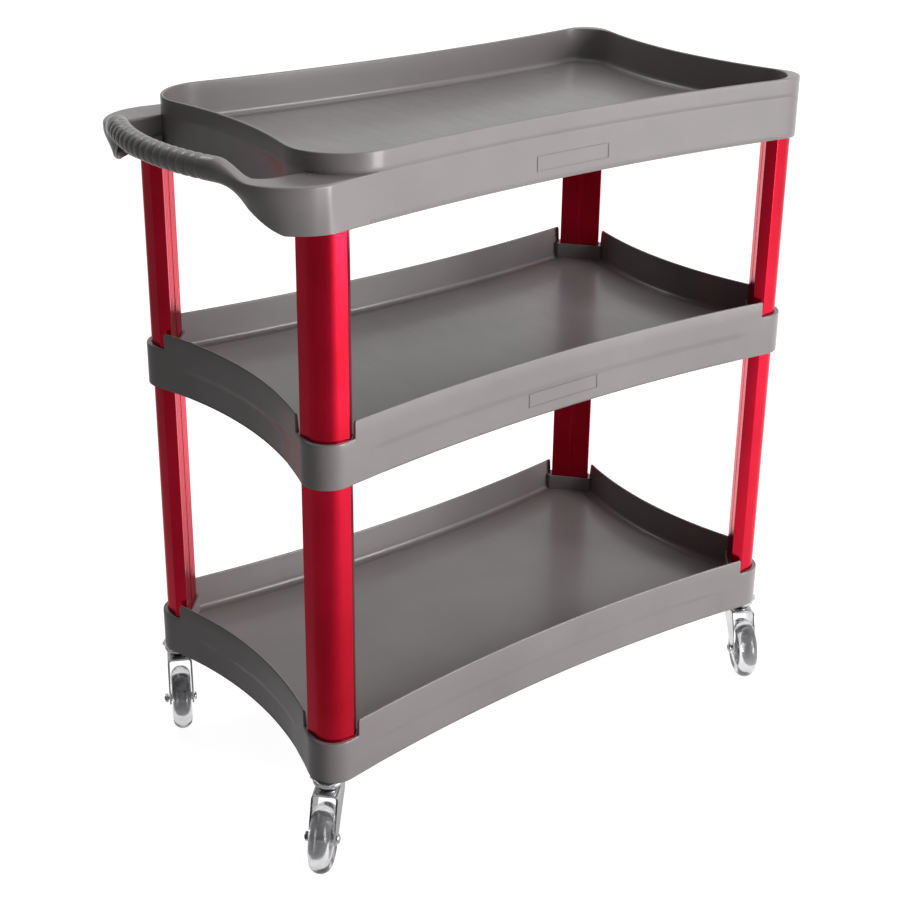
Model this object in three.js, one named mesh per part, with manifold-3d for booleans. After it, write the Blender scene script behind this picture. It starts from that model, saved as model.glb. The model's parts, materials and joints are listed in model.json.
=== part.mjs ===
// Rolling utility cart: three moulded trays with bowed walls, held one above the other by hollow
// corner posts, with a push handle moulded into the top tray and four swivel casters underneath.
// Millimetres, +Z up. The origin is on the floor, under the middle of the whole cart.

import * as THREE from "three";
import { mergeVertices } from "three/addons/utils/BufferGeometryUtils.js";
import Module from "manifold-3d";

const wasm = await Module();
wasm.setup();

// Trays seen from above
const trayHalfLength = 331;
const trayHalfWidth = 176;
const sideBow = 25;
const endBow = 31;
const trayCornerRadius = 30;
const trayWall = 3.6;

// Trays seen from the side
const trayHeight = 73;
const notchDepth = 20.5;
const floorDrop = 42;
const floorThickness = 3.6;
const notchGapX = 5.2;
const notchGapY = 9;
const bottomTrayBase = 103;
const middleTrayBase = 472.5;
const topTrayBase = 755;

// Top tray
const topTrayHeight = 74;
const topFloorDrop = 43;
const deckDrop = 22;
const basinEndSetBack = 5;
const basinCornerRadius = 66;
const basinInnerRadius = 40;
const hornReach = 408;
const hornRadius = 66;
const hornFootReach = 384;
const hornKneeReach = 402;
const hornKneeHeight = 18;
const hornTopDrop = 6;
const handHoleHalfWidth = 148;
const handHoleRadius = 18;

// Handle bar
const gripRadius = 13;
const gripReach = 430;
const gripSweep = 40;
const gripHalfSpan = 158;
const gripDrop = 17;
const gripDip = 9;

// Posts: one corner section, its legs running along X and Y from the outer corner
const postLegX = 46;
const postLegY = 51;
const postRadius = 24;
const postChamfer = 10;
const postLeastFlat = 2;
const postWall = 2;
const postInsetX = 6.5;
const postInsetY = 5.2;
const postSocketDepth = 22;
const topSocketDepth = 26;

// Fits
const socketClearance = 0.5;
const restGap = 0.35;
const podWall = 2.4;
const plugClearance = 0.4;
const runningClearance = 0.6;

// Inserts inside the posts
const plugHeight = 18;
const plugDepthFromEnd = 1.5;
const studRadius = 4;
const studTipGap = 2;
const footWeb = 6;
const casterSocketHeight = 46;

// Casters
const swivelOffsetX = 12;
const swivelOffsetY = 18.5;
const plateHalfSize = 18.4;
const plateChamfer = 8;
const plateThickness = 2.2;
const stemRadius = 5;
const stemLength = 36;
const kingpinRadius = 4;
const kingpinHeadRadius = 7.5;
const kingpinHeadHeight = 2.2;
const raceRadius = 18;
const raceFootRadius = 13;
const wheelRadius = 40;
const wheelWidth = 25;
const treadRoll = 9;
const coreRadius = 25;
const coreWidth = 21;
const coreWebWidth = 12;
const coreHubRadius = 10;
const sleeveRadius = 5;
const axleRadius = 3;
const axleHeadRadius = 6;
const axleHeadHeight = 3.4;
const nutHeight = 5;
const casterTrail = 32;
const forkLegGap = 29;
const forkSheet = 2.3;
const forkTopHalf = 19;
const forkTopHeight = 90.5;
const forkBossRadius = 8.5;
const forkKneeHeight = 78;
const forkKneeReach = 6;
const treadFlat = 5;
const treadShoulderSlope = 2;
const treadEdgeDrop = 3;
const treadEdgeWidth = 4;
const nutTipLength = 2;

// Where each caster trails at rest, in degrees round from +X
const corners = [
  { name: "front_left", x: -1, y: -1, trailAngle: 225 },
  { name: "front_right", x: 1, y: -1, trailAngle: 238 },
  { name: "back_left", x: -1, y: 1, trailAngle: 243 },
  { name: "back_right", x: 1, y: 1, trailAngle: 122 },
];

// Steps along curves
const bowSteps = 4;
const cornerSteps = 5;
const roundSteps = 16;
const wheelSteps = 24;
const gripSteps = 14;

// Values that follow from the ones above
const sideBowRadius = bowRadius(trayHalfLength, sideBow);
const endBowRadius = bowRadius(trayHalfWidth, endBow);
const collarHeight = trayHeight - notchDepth;
const topRim = topTrayBase + topTrayHeight;
const deckLevel = topRim - deckDrop;
const trayCorner = cornerCentre(0, trayCornerRadius);
const postX = trayCorner.x + trayCornerRadius - postInsetX;
const postY = trayCorner.y + trayCornerRadius - postInsetY;
const swivelX = postX - swivelOffsetX;
const swivelY = postY - swivelOffsetY;
const gripEnd = gripReach + gripRadius;
const trayReach = trayCorner.x + trayCornerRadius;
const cartReach = Math.max(trayReach, swivelX + plateHalfSize, swivelX + forkReach());
const cartShift = (gripEnd - cartReach) / 2;
const postRound = Math.min(postRadius, Math.min(postLegX, postLegY) - postChamfer - postLeastFlat);

const materials = {
  tray: new THREE.MeshStandardMaterial({ color: 0x7d7676, roughness: 0.42, metalness: 0 }),
  post: new THREE.MeshStandardMaterial({ color: 0xa8081f, roughness: 0.3, metalness: 0.85 }),
  insert: new THREE.MeshStandardMaterial({ color: 0x2b2b2d, roughness: 0.6, metalness: 0 }),
  steel: new THREE.MeshStandardMaterial({ color: 0xc4c6c8, roughness: 0.25, metalness: 1 }),
  tread: new THREE.MeshStandardMaterial({
    color: 0xb4b4b6, roughness: 0.2, metalness: 0, transparent: true, opacity: 0.6,
  }),
  core: new THREE.MeshStandardMaterial({ color: 0xd6d6d8, roughness: 0.3, metalness: 0 }),
};

// ---- solids

function toSolid(geometry) {
  const bare = geometry.index ? geometry.toNonIndexed() : geometry.clone();
  bare.deleteAttribute("normal");
  bare.deleteAttribute("uv");
  const merged = mergeVertices(bare, 1e-4);
  const vertProperties = new Float32Array(merged.attributes.position.array);
  const triVerts = new Uint32Array(merged.index.array);
  return new wasm.Manifold(new wasm.Mesh({ numProp: 3, vertProperties, triVerts }));
}

function toGeometry(solid) {
  const mesh = solid.getMesh();
  const geometry = new THREE.BufferGeometry();
  geometry.setAttribute("position", new THREE.BufferAttribute(new Float32Array(mesh.vertProperties), 3));
  geometry.setIndex(new THREE.BufferAttribute(new Uint32Array(mesh.triVerts), 1));
  return geometry;
}

function joined(solids) {
  return solids.reduce((whole, solid) => whole.add(solid));
}

function less(solid, cuts) {
  return cuts.reduce((rest, cut) => rest.subtract(cut), solid);
}

// A straight-sided solid between two heights, from its outline seen from above
function prism(points, low, high) {
  const geometry = new THREE.ExtrudeGeometry(new THREE.Shape(points), {
    depth: high - low,
    bevelEnabled: false,
  });
  geometry.translate(0, 0, low);
  return toSolid(geometry);
}

// A straight-sided solid across the cart, from its outline seen from the front
function crossPrism(points, near, far) {
  const geometry = new THREE.ExtrudeGeometry(new THREE.Shape(points), {
    depth: far - near,
    bevelEnabled: false,
  });
  geometry.rotateX(Math.PI / 2);
  geometry.translate(0, far, 0);
  return toSolid(geometry);
}

// A turned solid about +Z, from pairs of radius and height that begin and end on the axis or close
function turned(profile, steps = roundSteps) {
  const geometry = new THREE.LatheGeometry(profile.map(([r, z]) => new THREE.Vector2(r, z)), steps);
  geometry.rotateX(Math.PI / 2);
  return toSolid(geometry);
}

function rod(radius, low, high, steps = roundSteps) {
  return turned([[0, low], [radius, low], [radius, high], [0, high]], steps);
}

function circlePoints(x, y, radius, from, to, steps) {
  const points = [];
  for (let i = 0; i <= steps; i++) {
    const angle = from + ((to - from) * i) / steps;
    points.push(new THREE.Vector2(x + radius * Math.cos(angle), y + radius * Math.sin(angle)));
  }
  return points;
}

function flipped(points, signX, signY) {
  const turnedPoints = points.map((p) => new THREE.Vector2(p.x * signX, p.y * signY));
  return signX * signY < 0 ? turnedPoints.reverse() : turnedPoints;
}

// ---- outlines of the trays

// How far past its swivel the front of a right-hand fork stands, along +X
function forkReach() {
  const halfWidth = forkLegGap / 2 + forkSheet;
  const reaches = corners.filter((corner) => corner.x > 0).map((corner) => {
    const angle = THREE.MathUtils.degToRad(corner.trailAngle);
    return Math.abs(Math.cos(angle)) * forkTopHalf + Math.abs(Math.sin(angle)) * halfWidth;
  });
  return Math.max(...reaches);
}

function bowRadius(halfChord, bow) {
  return (halfChord ** 2 + bow ** 2) / (2 * bow);
}

// Centre of the round that touches both bowed walls, set back from the outer face by the inset
function cornerCentre(inset, radius, halfLength = trayHalfLength) {
  const side = new THREE.Vector2(0, trayHalfWidth + sideBowRadius);
  const end = new THREE.Vector2(halfLength + endBowRadius, 0);
  const fromSide = sideBowRadius + inset + radius;
  const fromEnd = endBowRadius + inset + radius;
  const apart = side.distanceTo(end);
  const along = (fromSide ** 2 - fromEnd ** 2 + apart ** 2) / (2 * apart);
  const across = Math.sqrt(fromSide ** 2 - along ** 2);
  const unit = end.clone().sub(side).divideScalar(apart);
  const foot = side.clone().addScaledVector(unit, along);
  return foot.addScaledVector(new THREE.Vector2(unit.y, -unit.x), across);
}

// How far out the side wall's outer face stands at a distance x along the tray
function sideWallAt(x, inset = 0) {
  return trayHalfWidth + sideBowRadius - Math.sqrt((sideBowRadius + inset) ** 2 - x ** 2);
}

function endWallAt(y, inset, halfLength) {
  return halfLength + endBowRadius - Math.sqrt((endBowRadius + inset) ** 2 - y ** 2);
}

// The +X +Y quarter of a tray outline, from the X axis round to the Y axis
function trayQuarter(inset, radius, halfLength = trayHalfLength) {
  const centre = cornerCentre(inset, radius, halfLength);
  const endAngle = Math.atan2(-centre.y, halfLength + endBowRadius - centre.x);
  const sideAngle = Math.atan2(trayHalfWidth + sideBowRadius - centre.y, -centre.x);
  const round = circlePoints(centre.x, centre.y, radius, endAngle, sideAngle, cornerSteps);
  const points = [];
  for (let i = 0; i < bowSteps; i++) {
    const y = (round[0].y * i) / bowSteps;
    points.push(new THREE.Vector2(endWallAt(y, inset, halfLength), y));
  }
  points.push(...round);
  for (let i = bowSteps - 1; i >= 0; i--) {
    const x = (round[round.length - 1].x * i) / bowSteps;
    points.push(new THREE.Vector2(x, sideWallAt(x, inset)));
  }
  return points;
}

// The +X +Y quarter of the deck outline at the handle end, where the wall runs on past the basin
function hornQuarter(inset) {
  const radius = hornRadius - inset;
  const centreX = hornReach - inset - radius;
  const centreY = sideWallAt(centreX, inset + radius);
  const sideAngle = Math.atan2(trayHalfWidth + sideBowRadius - centreY, -centreX);
  const round = circlePoints(centreX, centreY, radius, 0, sideAngle, cornerSteps);
  const points = [new THREE.Vector2(hornReach - inset, 0), ...round];
  for (let i = bowSteps - 1; i >= 0; i--) {
    const x = (round[round.length - 1].x * i) / bowSteps;
    points.push(new THREE.Vector2(x, sideWallAt(x, inset)));
  }
  return points;
}

// A whole outline from its quarter at the +X end and its quarter at the -X end
function fromQuarters(right, left) {
  const points = [
    ...right,
    ...flipped(left, -1, 1),
    ...flipped(left, -1, -1),
    ...flipped(right, 1, -1),
  ];
  return points.filter((p, i) => p.distanceTo(points[(i + 1) % points.length]) > 1e-3);
}

function trayOutline(inset, radius) {
  const quarter = trayQuarter(inset, radius);
  return fromQuarters(quarter, quarter);
}

// ---- post section

// The post's outline at one corner of the cart, grown outwards by a margin
function postOutline(corner, grow) {
  const radius = postRound + grow;
  const slant = grow * (Math.SQRT2 - 1);
  const innerX = postLegX - postChamfer;
  const innerY = postLegY - postChamfer;
  const faceNormal = new THREE.Vector2(postLegY - postChamfer, postLegX - postChamfer).normalize();
  const faceShift = grow / faceNormal.dot(new THREE.Vector2(1, 1).normalize());
  const step = faceShift / Math.SQRT2;
  const lip = grow / Math.SQRT2;
  const round = circlePoints(postRound, postRound, radius, Math.PI, Math.PI * 1.5, cornerSteps);
  const points = [
    ...round,
    new THREE.Vector2(innerX + slant, -grow),
    new THREE.Vector2(postLegX + lip + step, postChamfer - lip + step),
    new THREE.Vector2(postChamfer - lip + step, postLegY + lip + step),
    new THREE.Vector2(-grow, innerY + slant),
  ];
  const placed = points.map((p) => new THREE.Vector2(postX - p.x, postY - p.y));
  return flipped(placed, corner.x, corner.y);
}

function postSolid(corner, low, high) {
  const tube = prism(postOutline(corner, 0), low, high);
  return tube.subtract(prism(postOutline(corner, -postWall), low - 1, high + 1));
}

// A plug that fills the post's hollow, with a round hole up its middle
function plugSolid(corner, low, high, holeRadius) {
  const body = prism(postOutline(corner, -postWall - plugClearance), low, high);
  return body.subtract(placedAtSwivel(rod(holeRadius, low - 1, high + 1), corner));
}

function placedAtSwivel(solid, corner) {
  return solid.translate([corner.x * swivelX, corner.y * swivelY, 0]);
}

// ---- trays

// The gap in the walls where a post rises through the corner
function notchOutline(corner) {
  const far = trayReach + 50;
  const nearX = postX - postLegX + postChamfer - notchGapX;
  const nearY = postY - postLegY + postChamfer - notchGapY;
  const points = [
    new THREE.Vector2(nearX, nearY),
    new THREE.Vector2(far, nearY),
    new THREE.Vector2(far, far),
    new THREE.Vector2(nearX, far),
  ];
  return flipped(points, corner.x, corner.y);
}

function openTray(base) {
  const rim = base + trayHeight;
  const floorTop = rim - floorDrop;
  const floorUnder = floorTop - floorThickness;
  const collar = base + collarHeight;
  const block = prism(trayOutline(0, trayCornerRadius), base, rim);
  const inside = trayOutline(trayWall, trayCornerRadius - trayWall);
  const shell = less(block, [prism(inside, floorTop, rim + 1), prism(inside, base - 1, floorUnder)]);
  const pods = corners.map((corner) => prism(postOutline(corner, socketClearance + podWall), base, collar));
  const notches = corners.map((corner) => prism(notchOutline(corner), collar, rim + 1));
  return less(joined([shell, ...pods]), notches);
}

function middleTraySolid() {
  const collar = middleTrayBase + collarHeight;
  const cuts = corners.flatMap((corner) => {
    const socket = postOutline(corner, socketClearance);
    return [
      prism(socket, collar - postSocketDepth, collar + 1),
      prism(socket, middleTrayBase - 1, middleTrayBase + postSocketDepth),
      placedAtSwivel(rod(studRadius + runningClearance, middleTrayBase, collar), corner),
    ];
  });
  return less(openTray(middleTrayBase), cuts);
}

function bottomTraySolid() {
  const collar = bottomTrayBase + collarHeight;
  const cuts = corners.flatMap((corner) => [
    prism(postOutline(corner, socketClearance), bottomTrayBase + footWeb, collar + 1),
    placedAtSwivel(rod(stemRadius + runningClearance, bottomTrayBase - 1, collar), corner),
  ]);
  return less(openTray(bottomTrayBase), cuts);
}

// The hand hole between the basin and the grip, which stays open towards the grip
function handHoleOutline(grow) {
  const near = trayHalfLength - basinEndSetBack - grow;
  const halfWidth = handHoleHalfWidth + grow;
  const radius = handHoleRadius;
  const quarter = [
    new THREE.Vector2(gripEnd + 20, halfWidth),
    ...circlePoints(near + radius, halfWidth - radius, radius, Math.PI / 2, Math.PI, 4),
  ];
  return [...flipped(quarter, -1, -1), ...flipped(quarter, -1, 1)];
}

// The end of the skirt slopes out from its foot, over a knee, to the underside of the grip
function hornSlope(setBack) {
  const foot = -(hornFootReach - setBack);
  const top = -(hornReach - setBack);
  const topHeight = deckLevel - hornTopDrop;
  const points = [
    new THREE.Vector2(foot, topTrayBase - 1),
    new THREE.Vector2(-(hornKneeReach - setBack), topTrayBase + hornKneeHeight),
    new THREE.Vector2(top, topHeight),
    new THREE.Vector2(top, topRim + 1),
    new THREE.Vector2(-gripEnd - 50, topRim + 1),
    new THREE.Vector2(-gripEnd - 50, topTrayBase - 1),
  ];
  return crossPrism(points.reverse(), -trayReach, trayReach);
}

function gripPath() {
  const points = [];
  for (let i = 0; i <= gripSteps; i++) {
    const share = (2 * i) / gripSteps - 1;
    const x = -gripReach + gripSweep * share ** 2;
    const z = topRim - gripDrop - gripDip * share ** 4;
    points.push(new THREE.Vector3(x, gripHalfSpan * share, z));
  }
  return new THREE.CatmullRomCurve3(points);
}

function gripSolid() {
  const section = new THREE.Shape(circlePoints(0, 0, gripRadius, 0, Math.PI * 2, 12).slice(0, -1));
  return toSolid(new THREE.ExtrudeGeometry(section, {
    steps: gripSteps,
    extrudePath: gripPath(),
  }));
}

function topTraySolid() {
  const floorTop = topRim - topFloorDrop;
  const floorUnder = floorTop - floorThickness;
  const deckOutline = fromQuarters(trayQuarter(0, trayCornerRadius), hornQuarter(0));
  const pocketOutline = fromQuarters(
    trayQuarter(trayWall, trayCornerRadius - trayWall),
    hornQuarter(trayWall),
  );
  const basinEnd = trayHalfLength - basinEndSetBack;
  const basinOutline = fromQuarters(
    trayQuarter(0, trayCornerRadius),
    trayQuarter(0, basinCornerRadius, basinEnd),
  );
  const basinInside = fromQuarters(
    trayQuarter(trayWall, basinInnerRadius),
    trayQuarter(trayWall, basinCornerRadius - trayWall, basinEnd),
  );

  const handHole = prism(handHoleOutline(0), topTrayBase - 1, topRim + 1);
  const handHoleWall = prism(handHoleOutline(trayWall), topTrayBase - 2, deckLevel);
  const pocket = less(prism(pocketOutline, topTrayBase - 1, deckLevel - trayWall), [
    handHoleWall,
    hornSlope(trayWall),
  ]);
  const skirt = less(prism(deckOutline, topTrayBase, deckLevel), [pocket, handHole, hornSlope(0)]);
  const basin = prism(basinOutline, floorUnder, topRim);
  const socketRoof = topTrayBase + topSocketDepth;
  const pods = corners.map((corner) => {
    return prism(postOutline(corner, socketClearance + podWall), topTrayBase, socketRoof + podWall);
  });
  const sockets = corners.map((corner) => {
    return prism(postOutline(corner, socketClearance), topTrayBase - 1, socketRoof);
  });
  const whole = joined([skirt, basin, gripSolid(), ...pods]);
  return less(whole, [prism(basinInside, floorTop, topRim + 1), ...sockets]);
}

// ---- casters

function casterPlate() {
  const size = plateHalfSize;
  const cut = size - plateChamfer;
  const outline = [[size, -cut], [size, cut], [cut, size], [-cut, size], [-size, cut], [-size, -cut],
    [-cut, -size], [cut, -size]].map(([x, y]) => new THREE.Vector2(x, y));
  const under = plateUnder();
  return prism(outline, under, under + plateThickness);
}

function plateUnder() {
  return bottomTrayBase - restGap - plateThickness;
}

// Plate, stem and kingpin are one turned and riveted piece, fixed to the cart
function casterPlateSolid() {
  const headTop = forkTopHeight - forkSheet - restGap;
  const headBottom = headTop - kingpinHeadHeight;
  const stem = rod(stemRadius, plateUnder() + 1, bottomTrayBase + stemLength);
  const kingpin = turned([
    [0, headBottom],
    [kingpinHeadRadius, headBottom],
    [kingpinHeadRadius, headTop],
    [kingpinRadius, headTop],
    [kingpinRadius, plateUnder() + 1],
    [0, plateUnder() + 1],
  ]);
  return joined([casterPlate(), stem, kingpin]);
}

// The ball race that the fork turns on, a shallow dished ring round the kingpin
function raceSolid() {
  const top = plateUnder() - restGap;
  const bottom = forkTopHeight + restGap;
  const bore = kingpinRadius + runningClearance;
  return turned([
    [bore, bottom],
    [raceFootRadius, bottom],
    [raceRadius, bottom + (top - bottom) * 0.45],
    [raceRadius, top - (top - bottom) * 0.15],
    [raceRadius - 2, top],
    [bore, top],
    [bore, bottom],
  ]);
}

// One leg of the fork seen from its side, with the axle's place behind the kingpin
function forkLegPoints() {
  const top = forkTopHeight;
  const boss = circlePoints(casterTrail, wheelRadius, forkBossRadius, -Math.PI * 0.8, Math.PI * 0.1, 8);
  return [
    new THREE.Vector2(-forkTopHalf, top),
    new THREE.Vector2(-forkTopHalf, forkKneeHeight),
    ...boss,
    new THREE.Vector2(forkTopHalf + forkKneeReach, forkKneeHeight),
    new THREE.Vector2(forkTopHalf, top),
  ];
}

function forkSolid() {
  const half = forkLegGap / 2;
  const legs = [-1, 1].map((side) => {
    const near = side < 0 ? -half - forkSheet : half;
    return crossPrism(forkLegPoints(), near, near + forkSheet);
  });
  const reach = forkTopHalf;
  const width = half + forkSheet;
  const bridge = prism(
    [[-reach, -width], [reach, -width], [reach, width], [-reach, width]]
      .map(([x, y]) => new THREE.Vector2(x, y)),
    forkTopHeight - forkSheet,
    forkTopHeight,
  );
  const axleHole = acrossWheel(rod(axleRadius + plugClearance, -width - 1, width + 1));
  const kingpinHole = rod(
    kingpinRadius + runningClearance,
    forkTopHeight - 2 * forkSheet,
    forkTopHeight + 1,
  );
  return less(joined([bridge, ...legs]), [axleHole, kingpinHole]);
}

// Turns a piece made about +Z onto the wheel's axle
function acrossWheel(solid) {
  return solid.rotate([90, 0, 0]).translate([casterTrail, 0, wheelRadius]);
}

// A solid wheel round whose lowest facet lies flat on the floor
function wheelTurned(profile) {
  const facet = Math.cos(Math.PI / wheelSteps);
  const grown = profile.map(([r, z]) => [r / facet, z]);
  return acrossWheel(turned(grown, wheelSteps).rotate([0, 0, 180 / wheelSteps]));
}

function treadSolid() {
  const half = wheelWidth / 2;
  const bore = coreRadius + restGap;
  const shoulder = wheelRadius - treadRoll;
  return wheelTurned([
    [bore, -half + treadShoulderSlope],
    [shoulder, -half],
    [wheelRadius - treadEdgeDrop, -half + treadEdgeWidth],
    [wheelRadius, -treadFlat / 2],
    [wheelRadius, treadFlat / 2],
    [wheelRadius - treadEdgeDrop, half - treadEdgeWidth],
    [shoulder, half],
    [bore, half - treadShoulderSlope],
    [bore, -half + treadShoulderSlope],
  ]);
}

function coreSolid() {
  const half = coreWidth / 2;
  const web = coreWebWidth / 2;
  const bore = sleeveRadius + runningClearance;
  return wheelTurned([
    [bore, -half],
    [coreHubRadius, -half],
    [coreHubRadius, -web],
    [coreRadius, -web],
    [coreRadius, web],
    [coreHubRadius, web],
    [coreHubRadius, half],
    [bore, half],
    [bore, -half],
  ]);
}

function sleeveSolid() {
  const half = forkLegGap / 2 - restGap;
  const bore = axleRadius + plugClearance;
  return acrossWheel(turned([
    [bore, -half],
    [sleeveRadius, -half],
    [sleeveRadius, half],
    [bore, half],
    [bore, -half],
  ]));
}

function axleSolid() {
  const face = forkLegGap / 2 + forkSheet + restGap;
  const tip = face + nutHeight + nutTipLength;
  return acrossWheel(turned([
    [0, -face - axleHeadHeight],
    [axleHeadRadius * 0.7, -face - axleHeadHeight],
    [axleHeadRadius, -face - axleHeadHeight * 0.4],
    [axleHeadRadius, -face],
    [axleRadius, -face],
    [axleRadius, tip],
    [0, tip],
  ]));
}

function nutSolid() {
  const face = forkLegGap / 2 + forkSheet + restGap;
  const body = rod(axleHeadRadius, face, face + nutHeight, 6);
  return acrossWheel(body.subtract(rod(axleRadius + plugClearance, face - 1, face + nutHeight + 1)));
}

// ---- the cart

const cart = new THREE.Group();
cart.position.x = cartShift;

function addPiece(name, solid, material, parent = cart) {
  const mesh = new THREE.Mesh(toGeometry(solid), material);
  mesh.name = name;
  parent.add(mesh);
}

function addPosts(corner) {
  const footCollar = bottomTrayBase + footWeb + restGap;
  const lowerHead = middleTrayBase + postSocketDepth - restGap;
  const upperFoot = middleTrayBase + collarHeight - postSocketDepth + restGap;
  const upperHead = topTrayBase + topSocketDepth - restGap;
  const studHole = studRadius + plugClearance;
  const lowerPlugTop = lowerHead - plugDepthFromEnd;
  const upperPlugFoot = upperFoot + plugDepthFromEnd;
  addPiece(`lower_post_${corner.name}`, postSolid(corner, footCollar, lowerHead), materials.post);
  addPiece(`upper_post_${corner.name}`, postSolid(corner, upperFoot, upperHead), materials.post);
  addPiece(
    `caster_socket_${corner.name}`,
    plugSolid(corner, footCollar, footCollar + casterSocketHeight, stemRadius + plugClearance),
    materials.insert,
  );
  addPiece(
    `lower_post_plug_${corner.name}`,
    plugSolid(corner, lowerPlugTop - plugHeight, lowerPlugTop, studHole),
    materials.insert,
  );
  addPiece(
    `upper_post_plug_${corner.name}`,
    plugSolid(corner, upperPlugFoot, upperPlugFoot + plugHeight, studHole),
    materials.insert,
  );
  const studFoot = lowerPlugTop - plugHeight + studTipGap;
  const stud = rod(studRadius, studFoot, upperPlugFoot + plugHeight - studTipGap);
  addPiece(`joining_stud_${corner.name}`, placedAtSwivel(stud, corner), materials.steel);
}

function addCaster(corner) {
  const fixed = new THREE.Group();
  fixed.position.set(corner.x * swivelX, corner.y * swivelY, 0);
  cart.add(fixed);
  const swivel = new THREE.Group();
  swivel.rotation.z = THREE.MathUtils.degToRad(corner.trailAngle);
  fixed.add(swivel);
  addPiece(`caster_plate_${corner.name}`, casterPlateSolid(), materials.steel, fixed);
  addPiece(`caster_race_${corner.name}`, raceSolid(), materials.steel, fixed);
  addPiece(`caster_fork_${corner.name}`, forkSolid(), materials.steel, swivel);
  addPiece(`axle_bolt_${corner.name}`, axleSolid(), materials.steel, swivel);
  addPiece(`axle_nut_${corner.name}`, nutSolid(), materials.steel, swivel);
  addPiece(`axle_sleeve_${corner.name}`, sleeveSolid(), materials.steel, swivel);
  addPiece(`wheel_core_${corner.name}`, coreSolid(), materials.core, swivel);
  addPiece(`wheel_tread_${corner.name}`, treadSolid(), materials.tread, swivel);
}

addPiece("top_tray", topTraySolid(), materials.tray);
addPiece("middle_tray", middleTraySolid(), materials.tray);
addPiece("bottom_tray", bottomTraySolid(), materials.tray);
corners.forEach(addPosts);
corners.forEach(addCaster);

export default cart;
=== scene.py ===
import json
import math

import bmesh
import bpy
from mathutils import Matrix, Vector
from mathutils.geometry import interpolate_bezier


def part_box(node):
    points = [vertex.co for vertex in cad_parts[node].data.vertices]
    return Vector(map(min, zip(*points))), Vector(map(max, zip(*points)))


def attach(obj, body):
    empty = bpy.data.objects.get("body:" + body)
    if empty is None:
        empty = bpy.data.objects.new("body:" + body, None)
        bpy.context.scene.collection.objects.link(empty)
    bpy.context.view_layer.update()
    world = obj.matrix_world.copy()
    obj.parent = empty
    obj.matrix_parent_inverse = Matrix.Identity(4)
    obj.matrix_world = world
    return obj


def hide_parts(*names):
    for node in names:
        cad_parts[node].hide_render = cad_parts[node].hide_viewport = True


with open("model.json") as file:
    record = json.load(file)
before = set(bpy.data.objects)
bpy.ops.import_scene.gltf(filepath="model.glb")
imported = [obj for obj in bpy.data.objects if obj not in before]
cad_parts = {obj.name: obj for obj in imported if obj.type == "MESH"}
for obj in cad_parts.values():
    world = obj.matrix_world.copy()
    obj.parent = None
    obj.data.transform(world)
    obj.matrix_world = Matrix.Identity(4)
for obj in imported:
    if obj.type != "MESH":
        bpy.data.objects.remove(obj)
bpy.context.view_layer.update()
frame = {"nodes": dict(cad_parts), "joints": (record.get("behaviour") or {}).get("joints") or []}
mm = 0.001
corners = {
    "front_left": (-1, -1),
    "front_right": (1, -1),
    "back_left": (-1, 1),
    "back_right": (1, 1),
}


def smoothStep(value, low, high):
    share = min(1.0, max(0.0, (value - low) / (high - low)))
    return share * share * (3 - 2 * share)


def mixed(a, b, share):
    return a + (b - a) * share


def evenly(low, high, count):
    return [mixed(low, high, i / count) for i in range(count + 1)]


def inCorner(corner, x, y):
    # a place given from the middle of the trays, in the quarter of that corner
    return Vector((trayMiddle + corner[0] * x, corner[1] * y))


def gridSurface(bm, rows):
    # one sheet of faces through rows of points, each row as long as the others
    high = len(rows) - 1
    wide = len(rows[0]) - 1
    made = bmesh.ops.create_grid(bm, x_segments=wide, y_segments=high, size=0.5)
    for vert in made["verts"]:
        column = round((vert.co.x + 0.5) * wide)
        row = round((vert.co.y + 0.5) * high)
        vert.co = rows[row][column]
    return made["verts"]


def closeHoles(bm):
    rims = [edge for edge in bm.edges if edge.is_boundary]
    if rims:
        bmesh.ops.holes_fill(bm, edges=rims, sides=0)


def settle(bm, gap=2e-6):
    bmesh.ops.remove_doubles(bm, verts=bm.verts, dist=gap)
    bmesh.ops.dissolve_degenerate(bm, edges=bm.edges, dist=gap)
    closeHoles(bm)
    bmesh.ops.recalc_face_normals(bm, faces=bm.faces)


def addTo(bm, part):
    # moves a finished part into the piece that it belongs to
    scratch = bpy.data.meshes.new("scratch")
    part.to_mesh(scratch)
    part.free()
    bm.from_mesh(scratch)
    bpy.data.meshes.remove(scratch)


def makePiece(bm, name, material, body, nodes, sharpAngle=35):
    mesh = bpy.data.meshes.new(name)
    bm.to_mesh(mesh)
    bm.free()
    mesh.materials.append(material)
    mesh.polygons.foreach_set("use_smooth", [True] * len(mesh.polygons))
    mesh.set_sharp_from_angle(angle=math.radians(sharpAngle))
    piece = bpy.data.objects.new(name, mesh)
    bpy.context.scene.collection.objects.link(piece)
    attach(piece, body)
    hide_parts(*nodes)
    return piece


def polygonPrism(bm, loops, low, high):
    # an upright solid between two heights, from an outline and any holes in it
    edges = []
    for loop in loops:
        verts = [bm.verts.new((p.x, p.y, low)) for p in loop]
        for i, vert in enumerate(verts):
            edges.append(bm.edges.new((vert, verts[(i + 1) % len(verts)])))
    filled = bmesh.ops.triangle_fill(bm, use_beauty=True, use_dissolve=False, edges=edges)
    faces = [g for g in filled["geom"] if isinstance(g, bmesh.types.BMFace)]
    raised = bmesh.ops.extrude_face_region(bm, geom=faces, use_keep_orig=True)
    top = [g for g in raised["geom"] if isinstance(g, bmesh.types.BMVert)]
    bmesh.ops.translate(bm, verts=top, vec=(0, 0, high - low))
    return top


def newMaterial(name):
    material = bpy.data.materials.new(name)
    material.use_nodes = True
    tree = material.node_tree
    return material, tree, tree.nodes["Principled BSDF"]


def addNode(tree, kind, **values):
    node = tree.nodes.new(kind)
    for key, value in values.items():
        if key in node.inputs:
            node.inputs[key].default_value = value
        else:
            setattr(node, key, value)
    return node


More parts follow.
